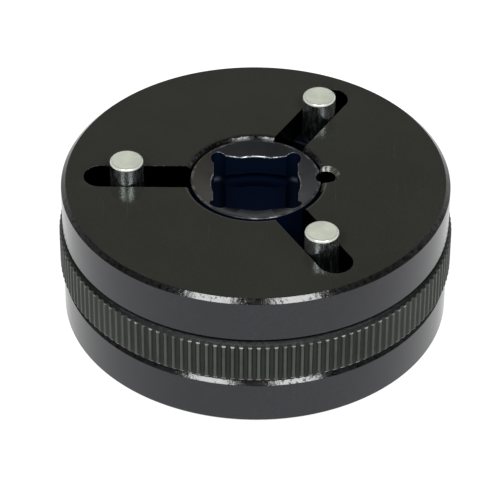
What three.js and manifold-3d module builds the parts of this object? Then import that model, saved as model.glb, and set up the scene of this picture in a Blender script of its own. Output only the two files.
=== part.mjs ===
// Self-centring three-pin wrench with a square drive.
//
// Two equal discs are held apart by a stepped hub. A knurled ring turns between them on the hub.
// Three spiral slots in the ring's web move three steel pins in and out along radial slots in the
// upper disc, so the pins always stay on one circle. The pins enter the holes or notches of the
// cap that is to be turned, and a square drive tool in the hub turns the whole wrench.
//
// Millimetres, +Z up. The origin is the centre of the underside, and the pins point up.

import * as THREE from 'three';
import { mergeVertices } from 'three/addons/utils/BufferGeometryUtils.js';
import Module from 'manifold-3d';

const wasm = await Module();
wasm.setup();

// ---- driving dimensions -------------------------------------------------------------------

const DISC_RADIUS = 29.5;
const DISC_THICKNESS = 8;
const DISC_CHAMFER = 0.7;
const RING_SPACE = 7.5; // height between the two discs
const STACK_HEIGHT = 2 * DISC_THICKNESS + RING_SPACE;
const LOWER_DISC_TOP = DISC_THICKNESS;
const UPPER_DISC_BASE = DISC_THICKNESS + RING_SPACE;

const FIT_GAP = 0.05; // radial gap of pieces that are pressed or held together
const RUN_GAP = 0.1; // gap of pieces that turn or slide past each other

const HUB_SPIGOT_RADIUS = 9.85; // in the bores of the two discs
const HUB_JOURNAL_RADIUS = 10.4; // in the bore of the ring, and the shoulder of the discs
const HUB_RECESS = 0.3; // end of the hub below the face of the disc
const HUB_RIM_INNER_RADIUS = 9.5; // flat rim outside, shallow cone inside
const HUB_CONE_SLOPE = Math.tan(THREE.MathUtils.degToRad(18));
const HUB_EDGE_CHAMFER = 0.15;
const BORE_CHAMFER_RADIUS = 10.8;

const DRIVE_HALF_FLATS = 6.4; // half-inch female square, 12.8 mm across flats
const DRIVE_PILOT_RADIUS = 6.75; // bore drilled before the square was broached
const DRIVE_RELIEF_RADIUS = 1.25; // round clearance in each corner
const DRIVE_RELIEF_CENTRE = 5.62; // from the axis, along X and along Y
const DETENT_DEPTH = 5.6; // from the face of the disc to the middle of the groove
const DETENT_RADIUS = 8.6;
const DETENT_MOUTH = 2.6; // groove's width at the flats
const DETENT_FLOOR = 1.4; // and at its bottom

const KEY_RADIUS = 10.65; // from the wrench's axis to the key screw's; the hole cuts the hub's rim
const KEY_ANGLE = THREE.MathUtils.degToRad(4.5);
const KEY_HOLE_RADIUS = 1.5;
const KEY_HOLE_DEPTH = 7.2;
const KEY_CHAMFER_RADIUS = 2.1;
const KEY_SCREW_RADIUS = 1.4;
const KEY_SCREW_LENGTH = 4;
const KEY_SCREW_DEPTH = 3; // top of the screw below the face of the disc
const KEY_SOCKET_RADIUS = 0.87; // to the corners of the hexagon
const HEXAGON_SIDES = 6;
const KEY_SOCKET_DEPTH = 1.6;
const KEY_POINT_CHAMFER = 0.3;

const PIN_COUNT = 3;
const FIRST_PIN_ANGLE = THREE.MathUtils.degToRad(60);
const PIN_REST_RADIUS = 19.5; // from the wrench's axis to a pin's axis
const SCROLL_RATE = 4.6; // pin travel per radian of the ring
const RING_TURN_OUT = THREE.MathUtils.degToRad(48);
const RING_TURN_IN = THREE.MathUtils.degToRad(56);
const PIN_OUTER_RADIUS = PIN_REST_RADIUS + SCROLL_RATE * RING_TURN_OUT;
const PIN_INNER_RADIUS = PIN_REST_RADIUS - SCROLL_RATE * RING_TURN_IN;

const PIN_HEAD_RADIUS = 2.55;
const PIN_STAND = 3.1; // above the upper disc
const PIN_EDGE = 0.4;
const PIN_SHANK_RADIUS = 1.8;
const PIN_TAIL_BASE = 5.8;
const SLOT_HALF_WIDTH = 2.62;

const BLOCK_WIDTH = 7.6; // across the slot
const BLOCK_LENGTH = 6.4; // along the slot
const BLOCK_BASE = UPPER_DISC_BASE + RUN_GAP;
const BLOCK_TOP = 19;
const BLOCK_CORNER = 1.5;
const POCKET_TOP = 19.25; // roof of the undercut that the block slides in

const BUSH_RADIUS = 2.4;
const BUSH_BORE_RADIUS = 1.9;
const BUSH_BASE = 9.25;
const CLIP_GROOVE_RADIUS = 1.45;
const CLIP_BASE = 8.55;
const CLIP_THICKNESS = 0.6;
const CLIP_RADIUS = 2.35;
const CLIP_OPENING = THREE.MathUtils.degToRad(80);
const SPIRAL_HALF_WIDTH = BUSH_RADIUS + RUN_GAP;
const TAIL_GROOVE_HALF_WIDTH = PIN_SHANK_RADIUS + RUN_GAP;
const TAIL_GROOVE_BASE = 5.5;

const RING_BASE = LOWER_DISC_TOP + RUN_GAP;
const RING_TOP = UPPER_DISC_BASE - RUN_GAP;
const KNURL_COUNT = 146;
const KNURL_CREST_RADIUS = 30;
const KNURL_ROOT_RADIUS = 29.7;
const KNURL_CREST_SHARE = 0.3; // of the pitch
const KNURL_ROOT_SHARE = 0.26;
const KNURL_UPPER_CHAMFER = 0.5;
const KNURL_LOWER_CHAMFER = 0.85;
const WASHER_RECESS_RADIUS = 11.9;
const WASHER_INNER_RADIUS = HUB_JOURNAL_RADIUS + RUN_GAP;
const WASHER_OUTER_RADIUS = WASHER_RECESS_RADIUS - RUN_GAP;
const THRUST_WASHER_THICKNESS = 0.5;
const WAVE_RECESS_HEIGHT = 1;
const WAVE_THICKNESS = 0.3;
const WAVE_HEIGHT = 0.35; // from the middle plane to a crest
const WAVE_COUNT = 3;

// Segments in a full circle.
const DISC_SEGMENTS = 72;
const PIN_SEGMENTS = 24;
const SCREW_SEGMENTS = 16;
const WASHER_SEGMENTS = 48;

// Segments in one arc of an outline.
const CORNER_SEGMENTS = 6;
const END_SEGMENTS = 16;
const SPIRAL_STEPS = 36;

const CUT = 1; // how far a cutting solid runs past the face that it opens

// ---- materials ----------------------------------------------------------------------------

const steel = (color, roughness) => new THREE.MeshStandardMaterial({ color, roughness, metalness: 0.9 });
const blackDisc = () => steel(0x2c2c2a, 0.38);
const blackHub = () => steel(0x24262a, 0.35);
const blackKnurl = () => steel(0x343733, 0.5);
const brightSteel = () => steel(0xc4c4c0, 0.32);
const darkSteel = () => steel(0x4a4a4c, 0.45);
const springSteel = () => steel(0x6f7276, 0.4);
const bronze = () => steel(0xa07a45, 0.45);

// ---- solids -------------------------------------------------------------------------------

function toSolid(geometry) {
  const bare = geometry.clone();
  bare.deleteAttribute('normal');
  bare.deleteAttribute('uv');
  const merged = mergeVertices(bare);
  const triangles = [];
  for (let i = 0; i < merged.index.count; i += 3) {
    const [a, b, c] = [0, 1, 2].map((k) => merged.index.getX(i + k));
    if (a !== b && b !== c && c !== a) triangles.push(a, b, c);
  }
  const vertProperties = new Float32Array(merged.attributes.position.array);
  const triVerts = new Uint32Array(triangles);
  return new wasm.Manifold(new wasm.Mesh({ numProp: 3, vertProperties, triVerts }));
}

function toGeometry(solid) {
  const mesh = solid.getMesh();
  const geometry = new THREE.BufferGeometry();
  geometry.setAttribute('position', new THREE.BufferAttribute(new Float32Array(mesh.vertProperties), 3));
  geometry.setIndex(new THREE.BufferAttribute(new Uint32Array(mesh.triVerts), 1));
  geometry.computeVertexNormals();
  return geometry;
}

// A solid of revolution about Z. The profile holds [radius, height] pairs, anticlockwise as seen
// with the radius to the right and the height upwards.
function revolve(profile, segments) {
  const points = profile.map(([radius, height]) => new THREE.Vector2(radius, height));
  const geometry = new THREE.LatheGeometry(points, segments);
  return toSolid(geometry.rotateX(Math.PI / 2));
}

// The same with a profile that doesn't meet the axis, so its last point returns to its first.
const revolveRing = (profile, segments) => revolve([...profile, profile[0]], segments);

// An upright prism. Each arc of the outline gets the same number of segments: three.js puts twice
// its curveSegments on an arc.
function prism(shape, low, high, arcSegments) {
  const options = { depth: high - low, bevelEnabled: false, curveSegments: arcSegments / 2 };
  const geometry = new THREE.ExtrudeGeometry(shape, options);
  return toSolid(geometry.translate(0, 0, low));
}

const cutAll = (solid, cutters) => cutters.reduce((rest, cutter) => rest.subtract(cutter), solid);

// ---- outlines -----------------------------------------------------------------------------

// A slot along X with a round outer end, centred on Y. It starts square at `start`.
function openSlot(start, endCentre, halfWidth) {
  const shape = new THREE.Shape();
  shape.moveTo(start, -halfWidth);
  shape.lineTo(endCentre, -halfWidth);
  shape.absarc(endCentre, 0, halfWidth, -Math.PI / 2, Math.PI / 2, false);
  shape.lineTo(start, halfWidth);
  shape.closePath();
  return shape;
}

function stadium(startCentre, endCentre, halfWidth) {
  const shape = new THREE.Shape();
  shape.absarc(endCentre, 0, halfWidth, -Math.PI / 2, Math.PI / 2, false);
  shape.absarc(startCentre, 0, halfWidth, Math.PI / 2, 1.5 * Math.PI, false);
  shape.closePath();
  return shape;
}

function roundedRectangle(lowX, highX, halfWidth, corner) {
  const shape = new THREE.Shape();
  const quarter = Math.PI / 2;
  shape.absarc(highX - corner, halfWidth - corner, corner, 0, quarter, false);
  shape.absarc(lowX + corner, halfWidth - corner, corner, quarter, 2 * quarter, false);
  shape.absarc(lowX + corner, corner - halfWidth, corner, 2 * quarter, 3 * quarter, false);
  shape.absarc(highX - corner, corner - halfWidth, corner, 3 * quarter, 4 * quarter, false);
  shape.closePath();
  return shape;
}

function annulus(outerRadius, innerRadius) {
  const shape = new THREE.Shape();
  shape.absarc(0, 0, outerRadius, 0, 2 * Math.PI, false);
  const hole = new THREE.Path();
  hole.absarc(0, 0, innerRadius, 0, 2 * Math.PI, true);
  shape.holes.push(hole);
  return shape;
}

// The broached square: on each side a flat, the arc of the pilot bore where it is wider than the
// square, the other half of the flat, and a round relief in the corner.
function driveSquare() {
  const shape = new THREE.Shape();
  const pilotAngle = Math.acos(DRIVE_HALF_FLATS / DRIVE_PILOT_RADIUS);
  const reliefReach = DRIVE_HALF_FLATS - DRIVE_RELIEF_CENTRE;
  const reliefAngle = Math.acos(reliefReach / DRIVE_RELIEF_RADIUS);
  const cornerDistance = Math.hypot(DRIVE_RELIEF_CENTRE, DRIVE_RELIEF_CENTRE);
  for (let side = 0; side < 4; side += 1) {
    const turn = (side * Math.PI) / 2;
    const cornerX = cornerDistance * Math.cos(turn + Math.PI / 4);
    const cornerY = cornerDistance * Math.sin(turn + Math.PI / 4);
    const quarterTurn = turn + Math.PI / 2;
    shape.absarc(0, 0, DRIVE_PILOT_RADIUS, turn - pilotAngle, turn + pilotAngle, false);
    shape.absarc(cornerX, cornerY, DRIVE_RELIEF_RADIUS, turn - reliefAngle, quarterTurn + reliefAngle, false);
  }
  shape.closePath();
  return shape;
}

// The spiral slot for the pin that rests on X: its middle line has a radius that falls evenly
// with the angle, and its sides keep one distance from that line.
function spiralSlot() {
  const outerSide = [];
  const innerSide = [];
  for (let step = 0; step <= SPIRAL_STEPS; step += 1) {
    const angle = -RING_TURN_OUT + ((RING_TURN_OUT + RING_TURN_IN) * step) / SPIRAL_STEPS;
    const radius = PIN_REST_RADIUS - SCROLL_RATE * angle;
    const middle = new THREE.Vector2(radius * Math.cos(angle), radius * Math.sin(angle));
    const heading = angle + Math.atan2(radius, -SCROLL_RATE);
    const across = new THREE.Vector2(Math.sin(heading), -Math.cos(heading)).multiplyScalar(SPIRAL_HALF_WIDTH);
    outerSide.push(middle.clone().add(across));
    innerSide.push(middle.clone().sub(across));
  }
  const shape = new THREE.Shape(outerSide);
  addRoundEnd(shape, outerSide[SPIRAL_STEPS], innerSide[SPIRAL_STEPS]);
  innerSide.reverse().forEach((point) => shape.lineTo(point.x, point.y));
  addRoundEnd(shape, innerSide[SPIRAL_STEPS], outerSide[0]);
  shape.closePath();
  return shape;
}

// Half a circle on the right-hand side of the way from one point to the other.
function addRoundEnd(shape, from, to) {
  const centre = from.clone().add(to).multiplyScalar(0.5);
  const start = Math.atan2(from.y - centre.y, from.x - centre.x);
  shape.absarc(centre.x, centre.y, SPIRAL_HALF_WIDTH, start, start + Math.PI, false);
}

// Straight knurling: flat crests and narrower flat-bottomed grooves.
function knurlOutline() {
  const shape = new THREE.Shape();
  const pitch = (2 * Math.PI) / KNURL_COUNT;
  const halfCrest = (pitch * KNURL_CREST_SHARE) / 2;
  const halfRoot = (pitch * KNURL_ROOT_SHARE) / 2;
  const at = (radius, angle) => [radius * Math.cos(angle), radius * Math.sin(angle)];
  shape.moveTo(...at(KNURL_CREST_RADIUS, -halfCrest));
  for (let tooth = 0; tooth < KNURL_COUNT; tooth += 1) {
    const middle = tooth * pitch;
    if (tooth > 0) shape.lineTo(...at(KNURL_CREST_RADIUS, middle - halfCrest));
    shape.lineTo(...at(KNURL_CREST_RADIUS, middle + halfCrest));
    shape.lineTo(...at(KNURL_ROOT_RADIUS, middle + pitch / 2 - halfRoot));
    shape.lineTo(...at(KNURL_ROOT_RADIUS, middle + pitch / 2 + halfRoot));
  }
  shape.closePath();
  return shape;
}

// ---- placing ------------------------------------------------------------------------------

const pinAngle = (index) => FIRST_PIN_ANGLE + (index * 2 * Math.PI) / PIN_COUNT;
const degrees = THREE.MathUtils.radToDeg;

// Copies of a solid made for a pin on X, one at each pin's angle.
const atEachPin = (solid) =>
  Array.from({ length: PIN_COUNT }, (_, index) => solid.rotate([0, 0, degrees(pinAngle(index))]));

const KEY_X = KEY_RADIUS * Math.cos(KEY_ANGLE);
const KEY_Y = KEY_RADIUS * Math.sin(KEY_ANGLE);

// The countersunk hole of a key screw, opening upwards. Most of it lies in the disc, and its inner
// side cuts the rim of the hub.
function upperKeyHole() {
  const chamfer = KEY_CHAMFER_RADIUS - KEY_HOLE_RADIUS;
  const profile = [
    [0, STACK_HEIGHT - KEY_HOLE_DEPTH],
    [KEY_HOLE_RADIUS, STACK_HEIGHT - KEY_HOLE_DEPTH],
    [KEY_HOLE_RADIUS, STACK_HEIGHT - chamfer],
    [KEY_CHAMFER_RADIUS + CUT, STACK_HEIGHT + CUT],
    [0, STACK_HEIGHT + CUT],
  ];
  return revolve(profile, SCREW_SEGMENTS).translate([KEY_X, KEY_Y, 0]);
}

// The wrench's two ends are alike: a solid made for the upper end turned over about X.
const turnOver = (solid) => solid.rotate([180, 0, 0]).translate([0, 0, STACK_HEIGHT]);

// ---- sub-parts ----------------------------------------------------------------------------

// A disc as the upper one lies, before its slots, holes and pockets.
function discBlank() {
  const boreRadius = HUB_SPIGOT_RADIUS + FIT_GAP;
  const boreChamfer = BORE_CHAMFER_RADIUS - boreRadius;
  const profile = [
    [boreRadius, UPPER_DISC_BASE],
    [DISC_RADIUS - DISC_CHAMFER, UPPER_DISC_BASE],
    [DISC_RADIUS, UPPER_DISC_BASE + DISC_CHAMFER],
    [DISC_RADIUS, STACK_HEIGHT - DISC_CHAMFER],
    [DISC_RADIUS - DISC_CHAMFER, STACK_HEIGHT],
    [BORE_CHAMFER_RADIUS, STACK_HEIGHT],
    [boreRadius, STACK_HEIGHT - boreChamfer],
  ];
  return revolveRing(profile, DISC_SEGMENTS);
}

function upperDisc() {
  const insideBore = HUB_SPIGOT_RADIUS / 2;
  const slotEnd = PIN_OUTER_RADIUS + RUN_GAP;
  const pocketEnd = PIN_OUTER_RADIUS + BLOCK_LENGTH / 2 + RUN_GAP;
  const pocketHalf = BLOCK_WIDTH / 2 + RUN_GAP;
  const slot = openSlot(insideBore, slotEnd, SLOT_HALF_WIDTH);
  const pocket = roundedRectangle(insideBore, pocketEnd, pocketHalf, BLOCK_CORNER);
  return cutAll(discBlank(), [
    ...atEachPin(prism(slot, UPPER_DISC_BASE - CUT, STACK_HEIGHT + CUT, END_SEGMENTS)),
    ...atEachPin(prism(pocket, UPPER_DISC_BASE - CUT, POCKET_TOP, CORNER_SEGMENTS)),
    upperKeyHole(),
  ]);
}

function lowerDisc() {
  const groove = stadium(PIN_INNER_RADIUS - RUN_GAP, PIN_OUTER_RADIUS + RUN_GAP, TAIL_GROOVE_HALF_WIDTH);
  return cutAll(turnOver(discBlank()), [
    ...atEachPin(prism(groove, TAIL_GROOVE_BASE, LOWER_DISC_TOP + CUT, END_SEGMENTS)),
    turnOver(upperKeyHole()),
  ]);
}

function hubBlank() {
  const low = HUB_RECESS;
  const high = STACK_HEIGHT - HUB_RECESS;
  const dish = HUB_RIM_INNER_RADIUS * HUB_CONE_SLOPE;
  const edge = HUB_EDGE_CHAMFER;
  const profile = [
    [0, low + dish],
    [HUB_RIM_INNER_RADIUS, low],
    [HUB_SPIGOT_RADIUS - edge, low],
    [HUB_SPIGOT_RADIUS, low + edge],
    [HUB_SPIGOT_RADIUS, LOWER_DISC_TOP],
    [HUB_JOURNAL_RADIUS, LOWER_DISC_TOP],
    [HUB_JOURNAL_RADIUS, UPPER_DISC_BASE],
    [HUB_SPIGOT_RADIUS, UPPER_DISC_BASE],
    [HUB_SPIGOT_RADIUS, high - edge],
    [HUB_SPIGOT_RADIUS - edge, high],
    [HUB_RIM_INNER_RADIUS, high],
    [0, high - dish],
  ];
  return revolve(profile, DISC_SEGMENTS);
}

// The groove inside the square that the drive tool's ball snaps into.
function detentGroove() {
  const middle = STACK_HEIGHT - DETENT_DEPTH;
  const insideSquare = DRIVE_HALF_FLATS / 2;
  const profile = [
    [insideSquare, middle - DETENT_MOUTH / 2],
    [DRIVE_HALF_FLATS, middle - DETENT_MOUTH / 2],
    [DETENT_RADIUS, middle - DETENT_FLOOR / 2],
    [DETENT_RADIUS, middle + DETENT_FLOOR / 2],
    [DRIVE_HALF_FLATS, middle + DETENT_MOUTH / 2],
    [insideSquare, middle + DETENT_MOUTH / 2],
  ];
  return revolveRing(profile, WASHER_SEGMENTS);
}

function driveHub() {
  return cutAll(hubBlank(), [
    prism(driveSquare(), -CUT, STACK_HEIGHT + CUT, CORNER_SEGMENTS),
    detentGroove(),
    turnOver(detentGroove()),
    upperKeyHole(),
    turnOver(upperKeyHole()),
  ]);
}

// What the 45-degree chamfers leave of a ring: they run past the bottom of the grooves.
function knurlChamfer() {
  const outside = KNURL_CREST_RADIUS + CUT;
  const profile = [
    [0, RING_BASE],
    [KNURL_CREST_RADIUS - KNURL_LOWER_CHAMFER, RING_BASE],
    [outside, RING_BASE + KNURL_LOWER_CHAMFER + CUT],
    [outside, RING_TOP - KNURL_UPPER_CHAMFER - CUT],
    [KNURL_CREST_RADIUS - KNURL_UPPER_CHAMFER, RING_TOP],
    [0, RING_TOP],
  ];
  return revolve(profile, KNURL_COUNT);
}

function ringBore() {
  const boreRadius = HUB_JOURNAL_RADIUS + FIT_GAP;
  const profile = [
    [0, RING_BASE - CUT],
    [WASHER_RECESS_RADIUS, RING_BASE - CUT],
    [WASHER_RECESS_RADIUS, RING_BASE + WAVE_RECESS_HEIGHT],
    [boreRadius, RING_BASE + WAVE_RECESS_HEIGHT],
    [boreRadius, UPPER_DISC_BASE - THRUST_WASHER_THICKNESS - RUN_GAP],
    [WASHER_RECESS_RADIUS, UPPER_DISC_BASE - THRUST_WASHER_THICKNESS - RUN_GAP],
    [WASHER_RECESS_RADIUS, RING_TOP + CUT],
    [0, RING_TOP + CUT],
  ];
  return revolve(profile, DISC_SEGMENTS);
}

function adjustingRing() {
  const knurled = prism(knurlOutline(), RING_BASE, RING_TOP, CORNER_SEGMENTS).intersect(knurlChamfer());
  const spirals = atEachPin(prism(spiralSlot(), RING_BASE - CUT, RING_TOP + CUT, END_SEGMENTS));
  return cutAll(knurled, [ringBore(), ...spirals]);
}

// A grub screw with a hexagon socket in its upper end, standing at the origin.
function keyScrew() {
  const profile = [
    [0, 0],
    [KEY_SCREW_RADIUS - KEY_POINT_CHAMFER, 0],
    [KEY_SCREW_RADIUS, KEY_POINT_CHAMFER],
    [KEY_SCREW_RADIUS, KEY_SCREW_LENGTH],
    [0, KEY_SCREW_LENGTH],
  ];
  const radius = KEY_SOCKET_RADIUS;
  const socket = new THREE.CylinderGeometry(radius, radius, 2 * KEY_SOCKET_DEPTH, HEXAGON_SIDES);
  socket.rotateX(Math.PI / 2).translate(0, 0, KEY_SCREW_LENGTH);
  return revolve(profile, SCREW_SEGMENTS).subtract(toSolid(socket));
}

function thrustWasher() {
  const low = UPPER_DISC_BASE - THRUST_WASHER_THICKNESS;
  return prism(annulus(WASHER_OUTER_RADIUS, WASHER_INNER_RADIUS), low, UPPER_DISC_BASE, WASHER_SEGMENTS);
}

// A spring washer whose height rises and falls three times round the ring.
function waveWasher() {
  const middle = LOWER_DISC_TOP + WAVE_RECESS_HEIGHT / 2;
  const inner = WASHER_INNER_RADIUS + RUN_GAP;
  const profile = [
    [inner, middle - WAVE_THICKNESS / 2],
    [WASHER_OUTER_RADIUS, middle - WAVE_THICKNESS / 2],
    [WASHER_OUTER_RADIUS, middle + WAVE_THICKNESS / 2],
    [inner, middle + WAVE_THICKNESS / 2],
  ];
  const geometry = toGeometry(revolveRing(profile, WASHER_SEGMENTS));
  const position = geometry.attributes.position;
  for (let i = 0; i < position.count; i += 1) {
    const angle = Math.atan2(position.getY(i), position.getX(i));
    position.setZ(i, position.getZ(i) + WAVE_HEIGHT * Math.cos(WAVE_COUNT * angle));
  }
  geometry.computeVertexNormals();
  return geometry;
}

// The pieces below are made on their pin's own axis, at the heights where they stay.

function drivePin() {
  const top = STACK_HEIGHT + PIN_STAND;
  const profile = [
    [0, PIN_TAIL_BASE],
    [PIN_SHANK_RADIUS - PIN_EDGE, PIN_TAIL_BASE],
    [PIN_SHANK_RADIUS, PIN_TAIL_BASE + PIN_EDGE],
    [PIN_SHANK_RADIUS, CLIP_BASE - FIT_GAP],
    [CLIP_GROOVE_RADIUS, CLIP_BASE - FIT_GAP],
    [CLIP_GROOVE_RADIUS, CLIP_BASE + CLIP_THICKNESS + FIT_GAP],
    [PIN_SHANK_RADIUS, CLIP_BASE + CLIP_THICKNESS + FIT_GAP],
    [PIN_SHANK_RADIUS, BLOCK_TOP + FIT_GAP],
    [PIN_HEAD_RADIUS, BLOCK_TOP + FIT_GAP],
    [PIN_HEAD_RADIUS, top - PIN_EDGE],
    [PIN_HEAD_RADIUS - PIN_EDGE, top],
    [0, top],
  ];
  return revolve(profile, PIN_SEGMENTS);
}

// The block keeps the pin upright and keeps it from falling out.
function slideBlock() {
  const shape = roundedRectangle(-BLOCK_LENGTH / 2, BLOCK_LENGTH / 2, BLOCK_WIDTH / 2, BLOCK_CORNER);
  const block = prism(shape, BLOCK_BASE, BLOCK_TOP, CORNER_SEGMENTS);
  const holeRadius = PIN_SHANK_RADIUS + FIT_GAP;
  const hole = new THREE.CylinderGeometry(holeRadius, holeRadius, STACK_HEIGHT, PIN_SEGMENTS);
  hole.rotateX(Math.PI / 2).translate(0, 0, BLOCK_TOP);
  return block.subtract(toSolid(hole));
}

// The loose sleeve that rolls in the ring's spiral slot.
function followerBush() {
  return prism(annulus(BUSH_RADIUS, BUSH_BORE_RADIUS), BUSH_BASE, UPPER_DISC_BASE, PIN_SEGMENTS);
}

// An open snap ring in the pin's groove, under the bush.
function pinClip() {
  const shape = new THREE.Shape();
  const start = CLIP_OPENING / 2;
  const end = 2 * Math.PI - start;
  shape.absarc(0, 0, CLIP_RADIUS, start, end, false);
  shape.absarc(0, 0, CLIP_GROOVE_RADIUS + FIT_GAP, end, start, true);
  shape.closePath();
  return prism(shape, CLIP_BASE, CLIP_BASE + CLIP_THICKNESS, END_SEGMENTS);
}

// ---- assembly -----------------------------------------------------------------------------

const wrench = new THREE.Group();

function addMesh(parent, name, geometry, material) {
  const mesh = new THREE.Mesh(geometry, material);
  mesh.name = name;
  parent.add(mesh);
  return mesh;
}

addMesh(wrench, 'upper_plate', toGeometry(upperDisc()), blackDisc());
addMesh(wrench, 'lower_plate', toGeometry(lowerDisc()), blackDisc());
addMesh(wrench, 'drive_hub', toGeometry(driveHub()), blackHub());
addMesh(wrench, 'adjusting_ring', toGeometry(adjustingRing()), blackKnurl());
addMesh(wrench, 'thrust_washer', toGeometry(thrustWasher()), bronze());
addMesh(wrench, 'wave_washer', waveWasher(), springSteel());

const upperKey = addMesh(wrench, 'upper_key_screw', toGeometry(keyScrew()), darkSteel());
upperKey.position.set(KEY_X, KEY_Y, STACK_HEIGHT - KEY_SCREW_DEPTH - KEY_SCREW_LENGTH);

const lowerKey = addMesh(wrench, 'lower_key_screw', toGeometry(keyScrew()), darkSteel());
lowerKey.rotation.x = Math.PI;
lowerKey.position.set(KEY_X, -KEY_Y, KEY_SCREW_DEPTH + KEY_SCREW_LENGTH);

for (let index = 0; index < PIN_COUNT; index += 1) {
  const number = index + 1;
  const station = new THREE.Group();
  station.rotation.z = pinAngle(index);
  const carrier = new THREE.Group();
  carrier.position.x = PIN_REST_RADIUS;
  station.add(carrier);
  wrench.add(station);
  addMesh(carrier, `drive_pin_${number}`, toGeometry(drivePin()), brightSteel());
  addMesh(carrier, `slide_block_${number}`, toGeometry(slideBlock()), darkSteel());
  addMesh(carrier, `follower_bush_${number}`, toGeometry(followerBush()), springSteel());
  addMesh(carrier, `pin_clip_${number}`, toGeometry(pinClip()), springSteel());
}

export default wrench;
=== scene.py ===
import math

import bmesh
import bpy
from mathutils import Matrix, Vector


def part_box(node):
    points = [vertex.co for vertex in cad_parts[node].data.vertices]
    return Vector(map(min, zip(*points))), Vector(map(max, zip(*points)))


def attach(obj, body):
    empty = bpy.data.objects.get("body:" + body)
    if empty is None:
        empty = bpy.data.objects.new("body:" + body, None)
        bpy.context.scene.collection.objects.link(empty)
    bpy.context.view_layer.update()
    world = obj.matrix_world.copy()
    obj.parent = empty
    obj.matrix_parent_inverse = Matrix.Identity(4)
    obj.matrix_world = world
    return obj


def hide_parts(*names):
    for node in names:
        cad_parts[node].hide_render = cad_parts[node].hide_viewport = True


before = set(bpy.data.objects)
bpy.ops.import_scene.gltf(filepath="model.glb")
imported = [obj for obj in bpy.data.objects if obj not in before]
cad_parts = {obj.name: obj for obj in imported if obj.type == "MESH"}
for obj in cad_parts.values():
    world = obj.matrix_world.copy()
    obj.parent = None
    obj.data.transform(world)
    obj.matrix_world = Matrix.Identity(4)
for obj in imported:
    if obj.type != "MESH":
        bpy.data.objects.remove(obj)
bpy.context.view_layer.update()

# The looks of a self-centring three-pin wrench: blackened steel discs, a knurled ring between them,
# a hub with a square drive hole, and three bright pins.
#
# Meshes are made in millimetres, with +Z up and the origin in the middle of the underside, and are
# scaled to metres when they are handed over.

MM = 0.001

# ---- sizes ----------------------------------------------------------------------------------


def top_of(node):
    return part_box(node)[1].z / MM


def base_of(node):
    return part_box(node)[0].z / MM


def radius_of(node):
    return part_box(node)[1].x / MM


DISC_RADIUS = radius_of("upper_plate")
DISC_TOP = top_of("upper_plate")
DISC_BASE = base_of("upper_plate")
MIDDLE = DISC_TOP / 2
LOWER_TOP = top_of("lower_plate")
DISC_CHAMFER = 0.7
DISC_EDGE = 0.12
EDGE = 0.09  # how far a sharp edge is broken

RING_RADIUS = radius_of("adjusting_ring")
RING_TOP = top_of("adjusting_ring")
RING_BASE = base_of("adjusting_ring")
KNURL_COUNT = 146
KNURL_DEPTH = 0.3
KNURL_CREST = 0.12  # half a crest and half a groove's bottom, as shares of the pitch
KNURL_BOTTOM = 0.13
KNURL_FLANK = 0.5 - KNURL_BOTTOM - KNURL_CREST
KNURL_CHAMFER = 0.5
KNURL_LOWER_CHAMFER = 0.85
KNURL_LOWER_EXTRA = KNURL_LOWER_CHAMFER - KNURL_CHAMFER
KNURL_ON_CREST = 0.08  # one more place on the crest, and one on the groove's bottom
KNURL_ON_BOTTOM = 0.44
# The heights of the rows over an end of the knurl, which its chamfer needs.
KNURL_RISE = [0, 0.02, 0.06, 0.12, 0.17, 0.22, 0.28, 0.34, 0.4, 0.45, 0.49, 0.54, 0.6]
CHAMFER_SOFTNESS = 0.03
RING_BORE = 10.45
RING_RECESS = 11.9
RING_RECESS_TOP = 14.9
RING_RECESS_BASE = 9.1

HUB_TOP = top_of("drive_hub")
HUB_BASE = base_of("drive_hub")
HUB_JOURNAL = radius_of("drive_hub")
HUB_RADIUS = 9.85
HUB_RIM = 9.5
HUB_EDGE = 0.15
HUB_SMALL_EDGE = 0.06
HUB_CONE_SLOPE = math.tan(math.radians(18))
BORE_RADIUS = 9.9
BORE_CHAMFER_RADIUS = 10.8
BORE_MOUTH_EDGE = 0.7
BORE_LIP_EDGE = 1.3
BORE_LOWER_EDGE = 0.15

DRIVE_HALF = 6.4
PILOT_RADIUS = 6.75
RELIEF_RADIUS = 1.25
RELIEF_CENTRE = 5.62
BROACH_EDGE = 0.17
DETENT_DEPTH = 5.6
DETENT_RADIUS = 8.6
DETENT_HALF_MOUTH = 1.3

KEY_RADIUS = 10.65
KEY_ANGLE = math.radians(4.5)
KEY_HOLE = 1.5
KEY_HOLE_DEPTH = 7.2
KEY_HOLE_POINT = 0.6
KEY_CHAMFER = 0.6
KEY_SCREW_RADIUS = 1.4
KEY_SCREW_POINT = 0.35
KEY_THREAD_DEPTH = 0.2
KEY_THREAD_PITCH = 0.5
KEY_SOCKET_RADIUS = 0.87
KEY_SOCKET_DEPTH = 1.6
KEY_SOCKET_FLARE = 1.12
KEY_SCREW_EDGE = 0.1
KEY_X = KEY_RADIUS * math.cos(KEY_ANGLE)
KEY_Y = KEY_RADIUS * math.sin(KEY_ANGLE)

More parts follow.
